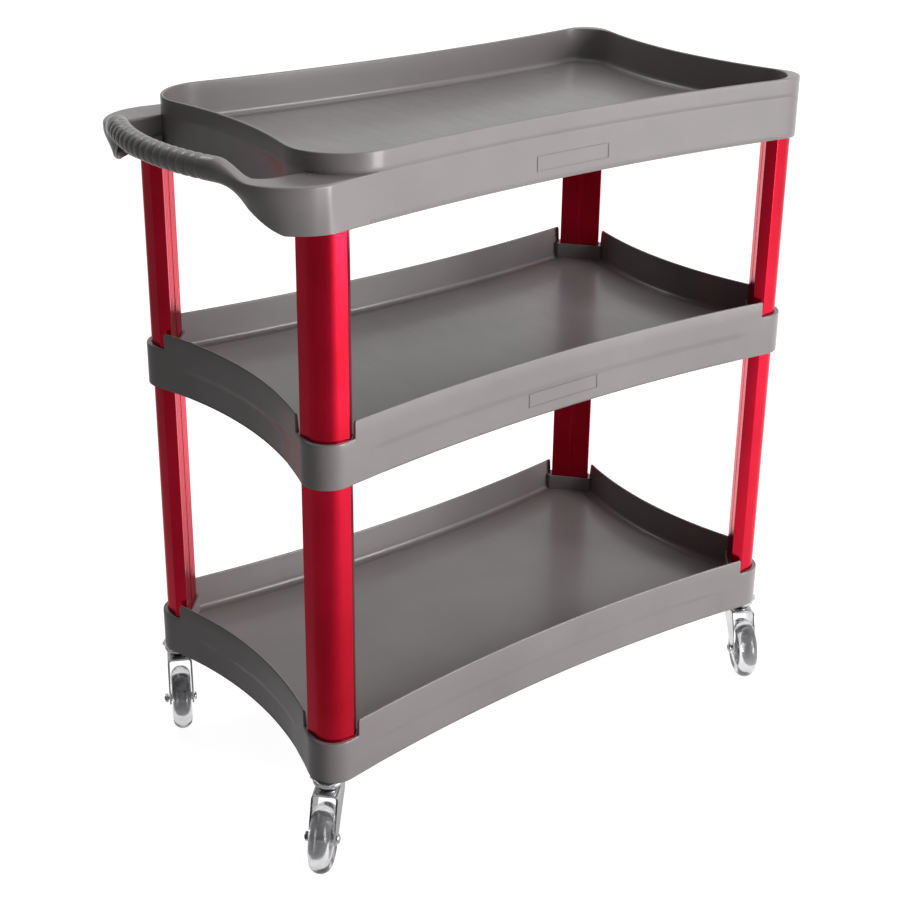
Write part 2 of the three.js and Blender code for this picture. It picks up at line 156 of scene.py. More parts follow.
def objectPattern(tree, scale=(1, 1, 1)):
    place = addNode(tree, "ShaderNodeTexCoord")
    mapping = addNode(tree, "ShaderNodeMapping", Scale=scale)
    tree.links.new(place.outputs["Object"], mapping.inputs["Vector"])
    return mapping.outputs["Vector"]


def noiseNode(tree, vector, scale, detail=4.0, roughness=0.55):
    noise = addNode(tree, "ShaderNodeTexNoise", Scale=scale, Detail=detail, Roughness=roughness)
    tree.links.new(vector, noise.inputs["Vector"])
    return noise.outputs["Fac"]


def rangeNode(tree, value, low, high, fromLow=0.3, fromHigh=0.7):
    node = tree.nodes.new("ShaderNodeMapRange")
    node.inputs["From Min"].default_value = fromLow
    node.inputs["From Max"].default_value = fromHigh
    node.inputs["To Min"].default_value = low
    node.inputs["To Max"].default_value = high
    tree.links.new(value, node.inputs["Value"])
    return node.outputs["Result"]


def colourRamp(tree, value, stops):
    ramp = tree.nodes.new("ShaderNodeValToRGB")
    elements = ramp.color_ramp.elements
    while len(elements) < len(stops):
        elements.new(0.5)
    for element, (position, colour) in zip(elements, stops):
        element.position = position
        element.color = (*colour, 1)
    tree.links.new(value, ramp.inputs["Fac"])
    return ramp.outputs["Color"]


def bumpFrom(tree, value, shader, strength, distance):
    bump = addNode(tree, "ShaderNodeBump", Strength=strength, Distance=distance)
    tree.links.new(value, bump.inputs["Height"])
    tree.links.new(bump.outputs["Normal"], shader.inputs["Normal"])
    return bump


plastic = {
    "dark": (0.168, 0.150, 0.150),
    "pale": (0.212, 0.190, 0.190),
    "rubbed": (0.27, 0.245, 0.243),
    "grain": 900,
    "cloud": 5,
}


def trayPlastic():
    material, tree, shader = newMaterial("trayPlastic")
    vector = objectPattern(tree)
    cloud = noiseNode(tree, vector, plastic["cloud"], 3)
    base = colourRamp(tree, cloud, [(0.3, plastic["dark"]), (0.7, plastic["pale"])])
    scuff = noiseNode(tree, objectPattern(tree, (14, 3, 30)), 6, 6, 0.7)
    wear = addNode(tree, "ShaderNodeMix", data_type="RGBA")
    wear.inputs[7].default_value = (*plastic["rubbed"], 1)
    tree.links.new(rangeNode(tree, scuff, 0, 0.22, 0.6, 0.75), wear.inputs[0])
    tree.links.new(base, wear.inputs[6])
    tree.links.new(wear.outputs[2], shader.inputs["Base Color"])
    tree.links.new(rangeNode(tree, scuff, 0.32, 0.42), shader.inputs["Roughness"])
    shader.inputs["IOR"].default_value = 1.5
    shader.inputs["Coat Weight"].default_value = 0.3
    shader.inputs["Coat Roughness"].default_value = 0.16
    fine = noiseNode(tree, vector, plastic["grain"], 2)
    bumpFrom(tree, fine, shader, 0.06, 0.0003)
    return material


anodising = {
    "deep": (0.50, 0.0, 0.014),
    "bright": (0.80, 0.006, 0.045),
    "lines": 1500,
}


def anodisedAluminium():
    material, tree, shader = newMaterial("anodisedAluminium")
    lines = noiseNode(tree, objectPattern(tree, (1, 1, 0.004)), anodising["lines"], 3)
    cloud = noiseNode(tree, objectPattern(tree), 9, 3)
    blend = addNode(tree, "ShaderNodeMath", operation="MULTIPLY_ADD")
    blend.inputs[1].default_value = 0.14
    tree.links.new(lines, blend.inputs[0])
    tree.links.new(rangeNode(tree, cloud, 0.15, 0.5), blend.inputs[2])
    colour = colourRamp(tree, blend.outputs[0], [(0.2, anodising["deep"]), (0.75, anodising["bright"])])
    tree.links.new(colour, shader.inputs["Base Color"])
    shader.inputs["Metallic"].default_value = 0.92
    shader.inputs["Specular Tint"].default_value = (1.0, 0.55, 0.6, 1)
    tree.links.new(rangeNode(tree, lines, 0.20, 0.25), shader.inputs["Roughness"])
    shader.inputs["Coat Weight"].default_value = 0.2
    shader.inputs["Coat Roughness"].default_value = 0.1
    bumpFrom(tree, lines, shader, 0.02, 0.0001)
    return material


def zincPlate():
    material, tree, shader = newMaterial("zincPlate")
    vector = objectPattern(tree)
    cloud = noiseNode(tree, vector, 60, 4)
    colour = colourRamp(tree, cloud, [(0.3, (0.50, 0.50, 0.51)), (0.7, (0.72, 0.72, 0.73))])
    tree.links.new(colour, shader.inputs["Base Color"])
    shader.inputs["Metallic"].default_value = 1.0
    tree.links.new(rangeNode(tree, cloud, 0.16, 0.30), shader.inputs["Roughness"])
    fine = noiseNode(tree, vector, 420, 3)
    bumpFrom(tree, fine, shader, 0.08, 0.0003)
    return material


def clearTread():
    material, tree, shader = newMaterial("clearTread")
    vector = objectPattern(tree)
    cloud = noiseNode(tree, vector, 45, 3)
    colour = colourRamp(tree, cloud, [(0.3, (0.66, 0.66, 0.67)), (0.7, (0.84, 0.84, 0.85))])
    tree.links.new(colour, shader.inputs["Base Color"])
    tree.links.new(rangeNode(tree, noiseNode(tree, vector, 60, 3), 0.07, 0.16), shader.inputs["Roughness"])
    shader.inputs["Transmission Weight"].default_value = 0.95
    shader.inputs["IOR"].default_value = 1.42
    bumpFrom(tree, noiseNode(tree, vector, 120, 2), shader, 0.03, 0.0003)
    return material


def wheelPlastic():
    material, tree, shader = newMaterial("wheelPlastic")
    vector = objectPattern(tree)
    cloud = noiseNode(tree, vector, 50, 3)
    colour = colourRamp(tree, cloud, [(0.3, (0.68, 0.68, 0.69)), (0.7, (0.84, 0.84, 0.85))])
    tree.links.new(colour, shader.inputs["Base Color"])
    tree.links.new(rangeNode(tree, cloud, 0.12, 0.26), shader.inputs["Roughness"])
    shader.inputs["Transmission Weight"].default_value = 0.75
    bumpFrom(tree, noiseNode(tree, vector, 300, 2), shader, 0.08, 0.0003)
    return material


def insertPlastic():
    material, tree, shader = newMaterial("insertPlastic")
    vector = objectPattern(tree)
    cloud = noiseNode(tree, vector, 40, 3)
    colour = colourRamp(tree, cloud, [(0.3, (0.020, 0.020, 0.022)), (0.7, (0.040, 0.040, 0.042))])
    tree.links.new(colour, shader.inputs["Base Color"])
    tree.links.new(rangeNode(tree, cloud, 0.5, 0.65), shader.inputs["Roughness"])
    bumpFrom(tree, noiseNode(tree, vector, 700, 2), shader, 0.15, 0.0003)
    return material


trayFinish = trayPlastic()
postFinish = anodisedAluminium()
zincFinish = zincPlate()
treadFinish = clearTread()
coreFinish = wheelPlastic()
insertFinish = insertPlastic()
print("materials made")


# outlines that the trays share
tray = {
    "halfLength": 331 * mm,
    "halfWidth": 176 * mm,
    "sideBow": 25 * mm,
    "endBow": 31 * mm,
    "cornerRadius": 30 * mm,
    "wall": 3.6 * mm,
    "lip": 2.9 * mm,
    "floorDrop": 42 * mm,
    "floorThickness": 3.6 * mm,
    "notchDepth": 20.5 * mm,
    "notchGapX": 5.2 * mm,
    "notchGapY": 9 * mm,
    "notchRound": 2.2 * mm,
    "coveRadius": 5 * mm,
    "channelWidth": 9 * mm,
    "channelDepth": 1.3 * mm,
    "panelDepth": 1.5 * mm,
    "panelLine": 0.46,
    "sidePanelFade": (262 * mm, 292 * mm),
    "endPanelFade": (96 * mm, 122 * mm),
}
trayLow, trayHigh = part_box("middle_tray")
trayMiddle = (trayLow.x + trayHigh.x) / 2

post = {
    "legX": 46 * mm,
    "legY": 51 * mm,
    "radius": 24 * mm,
    "chamfer": 10 * mm,
    "wall": 2 * mm,
    "lipRound": 0.9 * mm,
    "ridges": 7,
    "ridgeDepth": 0.35 * mm,
    "socketGap": 0.5 * mm,
    "socketDepth": 22 * mm,
    "podWall": 2.4 * mm,
}
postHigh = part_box("lower_post_back_right")[1]
postX = postHigh.x - trayMiddle
postY = postHigh.y

# the rim steps down to a collar round each post, past these places
notchX = postX - post["legX"] + post["chamfer"] - tray["notchGapX"]
notchY = postY - post["legY"] + post["chamfer"] - tray["notchGapY"]


def bowRadius(half, bow):
    return (half * half + bow * bow) / (2 * bow)


sideR = bowRadius(tray["halfLength"], tray["sideBow"])
endR = bowRadius(tray["halfWidth"], tray["endBow"])
sideCentre = Vector((0, tray["halfWidth"] + sideR))


def cornerCentre(radius, halfLength, inset=0.0):
    endCentre = Vector((halfLength + endR, 0))
    apart = (endCentre - sideCentre).length
    fromSide = sideR + inset + radius
    fromEnd = endR + inset + radius
    along = (fromSide ** 2 - fromEnd ** 2 + apart ** 2) / (2 * apart)
    across = math.sqrt(fromSide ** 2 - along ** 2)
    unit = (endCentre - sideCentre) / apart
    return sideCentre + unit * along + Vector((unit.y, -unit.x)) * across


def sideStation(x, inset=0.0):
    angle = math.asin(x / sideR)
    normal = Vector((math.sin(angle), -math.cos(angle)))
    return sideCentre + normal * (sideR + inset), normal


def endStation(y, halfLength, inset=0.0):
    angle = math.asin(y / endR)
    normal = Vector((-math.cos(angle), math.sin(angle)))
    return Vector((halfLength + endR, 0)) + normal * (endR + inset), normal


def quarterStations(radius, halfLength, endYs, sideXs, steps, inset=0.0):
    # places round a +X +Y quarter, each with the direction that points into the tray
    centre = cornerCentre(radius, halfLength, inset)
    toEnd = Vector((halfLength + endR, 0)) - centre
    toSide = sideCentre - centre
    start = math.atan2(toEnd.y, toEnd.x)
    stop = math.atan2(toSide.y, toSide.x)
    stations = [endStation(y, halfLength, inset) for y in endYs]
    for angle in evenly(start, stop, steps):
        outward = Vector((math.cos(angle), math.sin(angle)))
        stations.append((centre + outward * radius, -outward))
    stations += [sideStation(x, inset) for x in sideXs]
    return stations


def mirrored(stations, signX, signY):
    flip = lambda v: Vector((v.x * signX, v.y * signY))
    placed = [(flip(p), flip(n)) for p, n in stations]
    return placed[::-1] if signX * signY < 0 else placed


def wholeLoop(right, left):
    leftEnd = mirrored(left, -1, 1)[1:] + mirrored(left, -1, -1)[1:]
    return right + leftEnd + mirrored(right, 1, -1)[1:]


def placed(point, normal, profile, side=1):
    # pairs of inset and height, stood on a wall at one of its places
    return [
        Vector((trayMiddle + point.x + normal.x * u, side * (point.y + normal.y * u), z))
        for u, z in profile
    ]


def notchSteps(edge, sign):
    # close steps round the end of a wall, so that its rim can turn down sharply
    r = tray["notchRound"]
    offsets = [-1, -0.85, -0.6, -0.3, -0.08, 0, 0.02, 0.1, 0.35, 0.65, 1]
    return [edge + sign * r * k for k in offsets]


def junctions(radius, halfLength):
    centre = cornerCentre(radius, halfLength)
    endCentre = Vector((halfLength + endR, 0))
    endY = (endCentre + (centre - endCentre).normalized() * endR).y
    sideX = (sideCentre + (centre - sideCentre).normalized() * sideR).x
    return endY, sideX


def openTrayStations():
    radius = tray["cornerRadius"]
    endY, sideX = junctions(radius, tray["halfLength"])
    endYs = evenly(0, notchY - 4 * mm, 16) + notchSteps(notchY, 1)
    endYs += evenly(notchY + 5 * mm, endY, 4)[:-1]
    sideXs = notchSteps(notchX, 1)[::-1] + evenly(notchX - 4 * mm, 0, 26)
    sideXs = [x for x in sideXs if x < sideX]
    quarter = quarterStations(radius, tray["halfLength"], endYs, sideXs, 12)
    return wholeLoop(quarter, quarter)


def notchedRim(point, rim, collar):
    r = tray["notchRound"]
    into = min(abs(point.x) - notchX, abs(point.y) - notchY)
    if into <= -r:
        return rim
    if into <= 1e-7:
        return rim - r + math.sqrt(max(0, r * r - (into + r) ** 2))
    if into < r:
        return collar + r - math.sqrt(r * r - (r - into) ** 2)
    return collar


def panelAmount(point):
    # the shallow panel pressed into each wall fades out before the corners
    alongSide = 1 - smoothStep(abs(point.x), *tray["sidePanelFade"])
    alongEnd = 1 - smoothStep(abs(point.y), *tray["endPanelFade"])
    onSide = abs(point.y) > tray["halfWidth"] - 3 * mm and abs(point.x) < 300 * mm
    return alongSide if onSide else alongEnd


def halfRound(inset, wall, top, steps=6):
    # the rounded lip along the top of a wall, from its outer to its inner face
    r = wall / 2
    return [
        (inset + r - r * math.cos(a), top - r + r * math.sin(a))
        for a in evenly(0, math.pi, steps)
    ]


def trayProfile(point, base, rim, floorTop):
    wall = tray["wall"]
    cove = tray["coveRadius"]
    channel = tray["channelDepth"]
    line = base + (trayHigh.z - trayLow.z) * tray["panelLine"]
    depth = tray["panelDepth"] * panelAmount(point)
    outer = [(0.9 * mm, base), (0.25 * mm + depth, base + 0.3 * mm), (depth, base + 1.2 * mm)]
    outer += [(depth, mixed(base + 2 * mm, line - 5 * mm, k / 3)) for k in range(4)]
    outer += [(depth * (1 - smoothStep(k, -4, 4)), line + k * mm) for k in (-4, -2, 0, 2, 4)]
    lipFoot = rim - tray["lip"] / 2
    outer += [(0, mixed(line + 6 * mm, lipFoot, k / 2)) for k in range(2)]
    outer = [(u, min(z, lipFoot)) for u, z in outer]
    lip = halfRound(0, tray["lip"], rim)
    draft = 1.6 * mm
    inner = [(wall + draft, floorTop + cove)]
    inner += [
        (wall + draft + cove - cove * math.cos(a), floorTop + cove - (cove + channel) * math.sin(a))
        for a in evenly(0, math.pi / 2, 6)[1:]
    ]
    edge = wall + draft + cove
    width = tray["channelWidth"]
    inner += [
        (edge + width * 0.6, floorTop - channel),
        (edge + width * 0.85, floorTop - channel * 0.5),
        (edge + width, floorTop),
        (edge + width + 3 * mm, floorTop),
    ]
    under = floorTop - tray["floorThickness"]
    deep = edge + width + 3 * mm
    below = [(deep, under), (wall + 3 * mm, under), (wall + 0.6 * mm, under - 2 * mm)]
    below += [(wall, under - 6 * mm), (wall, base + 0.8 * mm), (wall - 0.6 * mm, base)]
    return below + outer + lip + inner


def openTray(bm, stations, base, rim, collar, floorTop):
    rows = []
    for point, normal in stations:
        rimHere = notchedRim(point, rim, collar)
        rows.append(placed(point, normal, trayProfile(point, base, rimHere, floorTop)))
    gridSurface(bm, rows)
    bmesh.ops.remove_doubles(bm, verts=bm.verts, dist=2e-6)
    closeHoles(bm)


def postOutline(grow, steps=12):
    # the section seen from above, measured inwards from the post's outer corner
    radius = post["radius"] + grow
    slant = grow * (math.sqrt(2) - 1)
    innerX = post["legX"] - post["chamfer"]
    innerY = post["legY"] - post["chamfer"]
    face = Vector((innerY, innerX)).normalized()
    step = grow / face.dot(Vector((1, 1)).normalized()) / math.sqrt(2)
    lip = grow / math.sqrt(2)
    points = [
        Vector((post["radius"] + radius * math.cos(a), post["radius"] + radius * math.sin(a)))
        for a in evenly(math.pi, math.pi * 1.5, steps)
    ]
    points += [
        Vector((innerX + slant, -grow)),
        Vector((post["legX"] + lip + step, post["chamfer"] - lip + step)),
        Vector((post["chamfer"] - lip + step, post["legY"] + lip + step)),
        Vector((-grow, innerY + slant)),
    ]
    return points


def roundedCorner(before, at, after, radius, steps=4):
    inward = (before - at).normalized()
    onward = (after - at).normalized()
    start = at + inward * radius
    stop = at + onward * radius
    return [
        start * (1 - t) ** 2 + at * (2 * t * (1 - t)) + stop * t ** 2 for t in evenly(0, 1, steps)
    ]


def postSkin():
    # the outer outline, with rounded lips and fine ridges on the face towards the tray
    sharp = postOutline(0, 20)
    points = sharp[:-4]
    tail = sharp[-4:]
    loop = [sharp[-5], *tail, sharp[0]]
    for i in (1, 2):
        points += roundedCorner(loop[i - 1], loop[i], loop[i + 1], post["lipRound"])
    near, far = tail[1], tail[2]
    along = far - near
    normal = Vector((along.y, -along.x)).normalized()
    if normal.dot(Vector((1, 1))) < 0:
        normal = -normal
    count = post["ridges"] * 8
    for k in range(1, count):
        share = mixed(0.07, 0.93, k / count)
        wave = 0.5 - 0.5 * math.cos(2 * math.pi * post["ridges"] * k / count)
        deep = 2.2 if abs(share - 0.5) < 0.055 else 1.0
        points.append(near + along * share - normal * (post["ridgeDepth"] * wave * deep))
    for i in (3, 4):
        points += roundedCorner(loop[i - 1], loop[i], loop[i + 1], post["lipRound"])
    return points


def cornerPoints(points, corner):
    return [inCorner(corner, postX - p.x, postY - p.y) for p in points]


def makePost(node, corner):
    low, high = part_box(node)
    bm = bmesh.new()
    loops = [cornerPoints(postSkin(), corner), cornerPoints(postOutline(-post["wall"], 20), corner)]
    polygonPrism(bm, loops, low.z, high.z)
    settle(bm)
    makePiece(bm, node.replace("_", "-") + "-extrusion", postFinish, "frame", [node], 28)


for cornerName, cornerSigns in corners.items():
    makePost("lower_post_" + cornerName, cornerSigns)
    makePost("upper_post_" + cornerName, cornerSigns)
print("posts made")


def podOutline():
    # the block that fills a tray's corner round its post, from wall to wall
    buried = tray["wall"] / 2
    endY, sideX = junctions(tray["cornerRadius"], tray["halfLength"])
    quarter = quarterStations(
        tray["cornerRadius"], tray["halfLength"],
        evenly(notchY + 1 * mm, endY, 6)[:-1],
        evenly(sideX, notchX + 1 * mm, 3)[1:], 10,
    )
    wallSide = [p + n * buried for p, n in quarter]
    grown = postOutline(post["socketGap"] + post["podWall"])
    inner = [Vector((postX - p.x, postY - p.y)) for p in grown[-3:-1]]
    first = Vector((inner[0].x, wallSide[-1].y))
    last = Vector((wallSide[0].x, inner[1].y))
    return wallSide + [first, *inner, last]


def levelLoop(bm, points, z):
    verts = [bm.verts.new((p.x, p.y, z)) for p in points]
    return [bm.edges.new((a, b)) for a, b in zip(verts, verts[1:] + verts[:1])]


def makePod(bm, corner, low, high, topDepth, footDepth):
    # a block with the post's socket sunk into its top, its foot or both
    outline = [inCorner(corner, p.x, p.y) for p in podOutline()]
    socket = cornerPoints(postOutline(post["socketGap"]), corner)
    part = bmesh.new()
    sides = []
    for level, depth in ((high, -topDepth), (low, footDepth)):
        face = levelLoop(part, outline, level)
        sides += face
        if depth:
            mouth = levelLoop(part, socket, level)
            seat = levelLoop(part, socket, level + depth)
            bmesh.ops.bridge_loops(part, edges=mouth + seat)
            bmesh.ops.triangle_fill(part, use_beauty=True, use_dissolve=False, edges=seat)
            face = face + mouth
        bmesh.ops.triangle_fill(part, use_beauty=True, use_dissolve=False, edges=face)
    bmesh.ops.bridge_loops(part, edges=sides)
    bmesh.ops.recalc_face_normals(part, faces=part.faces)
    addTo(bm, part)


labelFrame = {
    "halfLength": 53 * mm,
    "low": 12.5 * mm,
    "height": 18 * mm,
    "width": 1.1 * mm,
    "raise": 0.7 * mm,
}


def addLabelFrame(bm, base, depth):
    # a blank raised border low in the middle of the front wall, following its bow
    half = labelFrame["halfLength"]
    low = base + labelFrame["low"]
    high = low + labelFrame["height"]
    line = labelFrame["width"]

    def strip(x0, x1, z0, z1, steps):
        rows = []
        for x in evenly(x0, x1, steps):
            point, normal = sideStation(x)
            proud = depth - labelFrame["raise"]
            back = depth + 0.6 * mm
            section = [(back, z0), (proud, z0), (proud, z1), (back, z1), (back, z0)]
            rows.append(placed(point, normal, section, -1))
        gridSurface(bm, rows)

    strip(-half, half, low, low + line, 16)
    strip(-half, half, high - line, high, 16)
    strip(-half, -half + line, low + line, high - line, 1)
    strip(half - line, half, low + line, high - line, 1)


def makeOpenTray(node, socketsBelow):
    low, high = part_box(node)
    collar = high.z - tray["notchDepth"]
    floorTop = high.z - tray["floorDrop"]
    bm = bmesh.new()
    openTray(bm, openTrayStations(), low.z, high.z, collar, floorTop)
    if socketsBelow:
        addLabelFrame(bm, low.z, tray["panelDepth"])
    closeHoles(bm)
    podTop = collar - 0.5 * mm
    podFoot = low.z + 0.6 * mm
    for corner in corners.values():
        if socketsBelow:
            makePod(bm, corner, podFoot, podTop, post["socketDepth"], post["socketDepth"])
        else:
            makePod(bm, corner, podFoot, podTop, podTop - podFoot - 6 * mm, 0)
    bmesh.ops.recalc_face_normals(bm, faces=bm.faces)
    makePiece(bm, node.replace("_", "-") + "-moulding", trayFinish, "frame", [node], 40)


makeOpenTray("middle_tray", True)
makeOpenTray("bottom_tray", False)
print("middle and bottom trays made")


# the top tray: a basin inside a skirt that runs out into the handle
top = {
    "floorDrop": 43 * mm,
    "deckDrop": 22 * mm,
    "basinSetBack": 5 * mm,
    "basinRadius": 66 * mm,
    "basinInner": 40 * mm,
    "hornReach": 408 * mm,
    "hornRadius": 66 * mm,
    "hornEdge": 3.5 * mm,
    "hornDraft": 10 * mm,
    "hornRise": 44 * mm,
    "hornClimb": (-186 * mm, -116 * mm),
    "gripBlend": (-152 * mm, -110 * mm),
    "draftStretch": (325 * mm, 400 * mm),
    "edgeStretch": (275 * mm, 345 * mm),
    "holeHalfWidth": 148 * mm,
    "holeEnd": 364 * mm,
    "handleStart": 268 * mm,
    "hornStart": 340 * mm,
    "hornTurn": math.radians(192),
    "gripRadius": 13 * mm,
    "gripReach": 443 * mm,
    "gripSweep": 40 * mm,
    "gripHalfSpan": 158 * mm,
    "gripDrop": 17 * mm,
    "gripStart": 104 * mm,
    "ribPitch": 13 * mm,
    "ribDepth": 1.5 * mm,
    "ribSpan": 100 * mm,
}
topLow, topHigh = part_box("top_tray")
rimTop = topHigh.z
deckTop = rimTop - top["deckDrop"]
topBase = topLow.z
gripHeight = rimTop - top["gripDrop"]


def basinStations(steps):
    # places round the basin's outer face, and their partners on its inner face
    wall = tray["wall"]
    radius = tray["cornerRadius"]
    shortened = tray["halfLength"] - top["basinSetBack"]
    result = []
    faces = [(0, radius, top["basinRadius"]), (wall, top["basinInner"], top["basinRadius"] - wall)]
    for inset, rightRadius, leftRadius in faces:
        quarters = []
        for cornerRound, length in ((rightRadius, tray["halfLength"]), (leftRadius, shortened)):
            centre = cornerCentre(cornerRound, length, inset)
            endCentre = Vector((length + endR, 0))
            endY = (endCentre + (centre - endCentre).normalized() * (endR + inset)).y
            endY = endY * endR / (endR + inset)
            sideX = centre.x * sideR / (sideR + inset + cornerRound)
            endYs = evenly(0, endY, 16)[:-1]
            sideXs = evenly(sideX, 0, steps)[1:]
            quarters.append(quarterStations(cornerRound, length, endYs, sideXs, 16, inset))
        result.append(wholeLoop(quarters[0], quarters[1]))
    return result


def basinProfile(point, floorTop):
    # pairs of inset and height: the first list from the outer face, the second from the inner face
    wall = tray["wall"]
    r = wall / 2
    under = floorTop - tray["floorThickness"]
    handleEnd = point.x < -tray["halfLength"] + 32 * mm and abs(point.y) < top["holeHalfWidth"] + 1 * mm
    foot = topBase + 1 * mm if handleEnd else under - 0.5 * mm
    hidden = 0.5 * mm
    outer = [(hidden + wall, under), (hidden + wall, foot)]
    outer += [(hidden + 0.4 * mm, foot), (hidden, foot + 0.4 * mm)]
    outer += [(hidden, deckTop - 1 * mm), (hidden * 0.5, deckTop - 0.6 * mm), (0, deckTop - 0.3 * mm)]
    outer += [(0, mixed(deckTop, rimTop - r, k / 4)) for k in range(1, 4)]
    outer += [(r - r * math.cos(a), rimTop - r + r * math.sin(a)) for a in evenly(0, math.pi / 2, 5)]
    cove = tray["coveRadius"] + 1 * mm
    draft = 2 * mm
    channel = tray["channelDepth"]
    inner = [(-r + r * math.sin(a), rimTop - r + r * math.cos(a)) for a in evenly(0, math.pi / 2, 5)]
    inner += [(draft * 0.5, mixed(rimTop, floorTop + cove, 0.5))]
    inner += [
        (draft + cove - cove * math.cos(a), floorTop + cove - (cove + channel) * math.sin(a))
        for a in evenly(0, math.pi / 2, 7)
    ]
    edge = draft + cove
    inner += [(edge + 6 * mm, floorTop - channel), (edge + 8.5 * mm, floorTop - channel * 0.5)]
    inner += [(edge + 10 * mm, floorTop), (edge + 13 * mm, floorTop)]
    return outer, inner


def addBasin(bm):
    outerLoop, innerLoop = basinStations(30)
    floorTop = rimTop - top["floorDrop"]
    rows = []
    for (point, normal), (partner, inward) in zip(outerLoop, innerLoop):
        outer, inner = basinProfile(point, floorTop)
        rows.append(placed(point, normal, outer) + placed(partner, inward, inner))
    gridSurface(bm, rows)


def gripEdge(y):
    share = y / top["gripHalfSpan"]
    return Vector((-top["gripReach"] + top["gripSweep"] * share * share, y))


def bezierPoints(start, startDir, stop, stopDir, count, pull=0.38):
    reach = (stop - start).length * pull
    points = interpolate_bezier(
        start.to_3d(), (start + startDir * reach).to_3d(),
        (stop - stopDir * reach).to_3d(), stop.to_3d(), count,
    )
    return [p.to_2d() for p in points]


def skirtHalf():
    # outer and inner edge of the skirt, deck and grip, from the front middle to the grip's middle
    wallSpots = [sideStation(x)[0] for x in evenly(top["handleStart"], top["hornStart"], 14)]
    wallSpots = [Vector((-p.x, -p.y)) for p in wallSpots]
    radius = top["hornRadius"]
    centreX = top["hornReach"] - radius
    centreY = tray["halfWidth"] + sideR - math.sqrt((sideR + radius) ** 2 - centreX ** 2)
    sideAngle = math.atan2(sideCentre.y - centreY, -centreX) - math.pi / 2
    first = math.pi * 1.5 - sideAngle
    arc = [
        Vector((-centreX + radius * math.cos(a), -centreY + radius * math.sin(a)))
        for a in evenly(first, top["hornTurn"], 16)
    ]
    leave = Vector((math.sin(top["hornTurn"]), -math.cos(top["hornTurn"])))
    gripFirst = gripEdge(-top["gripStart"])
    gripDir = (gripEdge(-top["gripStart"] + 1 * mm) - gripFirst).normalized()
    neck = bezierPoints(arc[-1], leave, gripFirst, gripDir, 16)
    outer = wallSpots + arc[1:] + neck[1:]

    hidden = 3.2 * mm
    shortened = tray["halfLength"] - top["basinSetBack"]
    centre = cornerCentre(top["basinRadius"], shortened)
    basinRound = top["basinRadius"] - hidden
    sideStart = math.atan2(sideCentre.y - centre.y, -centre.x)
    holeY = top["holeHalfWidth"]
    holeAngle = math.asin((holeY - centre.y) / basinRound)
    basinArc = [
        Vector((-centre.x - basinRound * math.cos(a), -centre.y - basinRound * math.sin(a)))
        for a in evenly(sideStart, holeAngle, 24)
    ]
    gripInner = gripFirst + Vector((-gripDir.y, gripDir.x)) * (-2 * top["gripRadius"])
    turnFrom = Vector((-top["holeEnd"], -holeY))
    bend = bezierPoints(turnFrom, Vector((-1, 0)), gripInner, gripDir, 20, 0.5)
    straight = [mixed(basinArc[-1], turnFrom, t) for t in evenly(0, 1, 8)]
    inner = basinArc + straight[1:] + bend[1:]
    return outer, inner


def spacedAlong(points, shares):
    lengths = [0.0]
    for a, b in zip(points, points[1:]):
        lengths.append(lengths[-1] + (b - a).length)
    placed = []
    for share in shares:
        target = share * lengths[-1]
        i = max(k for k in range(len(points)) if lengths[k] <= target + 1e-12)
        i = min(i, len(points) - 2)
        local = (target - lengths[i]) / (lengths[i + 1] - lengths[i])
        placed.append(mixed(points[i], points[i + 1], local))
    return placed


def shellSection(width, zTop, zFoot, draft, edge, pocket):
    # hollow section: outer wall, deck and inner lining, as pairs of inset and height
    wall = tray["wall"]
    innerEdge = min(edge, width * 0.25)
    outerEdge = min(edge, width * 0.5)
    ceiling = mixed(zFoot, max(zFoot, zTop - wall), pocket)
    nearIn = min(wall, width / 2)
    farIn = max(width - wall, width / 2)
    slope = lambda z: draft * (1 - smoothStep(z, zFoot - 5 * mm, zTop - 8 * mm))
    points = []
    for t in evenly(0, 1, 9):
        z = mixed(zFoot + 0.8 * mm, zTop - outerEdge, t)
        points.append((slope(z), z))
    for a in evenly(0, math.pi / 2, 8)[1:]:
        points.append((outerEdge - outerEdge * math.cos(a), zTop - outerEdge + outerEdge * math.sin(a)))
    points += [(mixed(outerEdge, width - innerEdge, t), zTop) for t in evenly(0, 1, 6)[1:-1]]
    for a in evenly(0, math.pi / 2, 6):
        turn = (math.sin(a), math.cos(a))
        points.append((width - innerEdge + innerEdge * turn[0], zTop - innerEdge + innerEdge * turn[1]))
    points += [(width, mixed(zTop - innerEdge, zFoot + 0.8 * mm, t)) for t in evenly(0, 1, 6)[1:]]
    points += [(mixed(width, farIn, t), zFoot) for t in (0.25, 0.8)]
    points += [(farIn, mixed(zFoot + 0.2 * mm, ceiling, t)) for t in evenly(0, 1, 3)]
    points += [(mixed(farIn, nearIn + slope(ceiling), t), ceiling) for t in evenly(0, 1, 4)[1:]]
    points += [(nearIn + slope(z), z) for z in evenly(ceiling, zFoot + 0.2 * mm, 3)[1:]]
    points += [(mixed(nearIn + slope(zFoot), slope(zFoot), t), zFoot) for t in (0.2, 0.75)]
    return points


def gripSection(radius, centreZ):
    # round section whose points answer one to one to the hollow section's
    middle = top["gripRadius"]
    angles = evenly(-70, 20, 9)
    angles += evenly(20, 72, 8)[1:]
    angles += evenly(72, 108, 6)[1:-1]
    angles += evenly(108, 160, 6)
    angles += evenly(160, 236, 6)[1:]
    angles += [239, 243]
    angles += evenly(246, 258, 3)
    angles += evenly(258, 272, 4)[1:]
    angles += evenly(272, 282, 3)[1:]
    angles += [284, 287]
    points = []
    for angle in angles:
        a = math.radians(angle)
        points.append((middle - radius * math.cos(a), centreZ + radius * math.sin(a)))
    return points


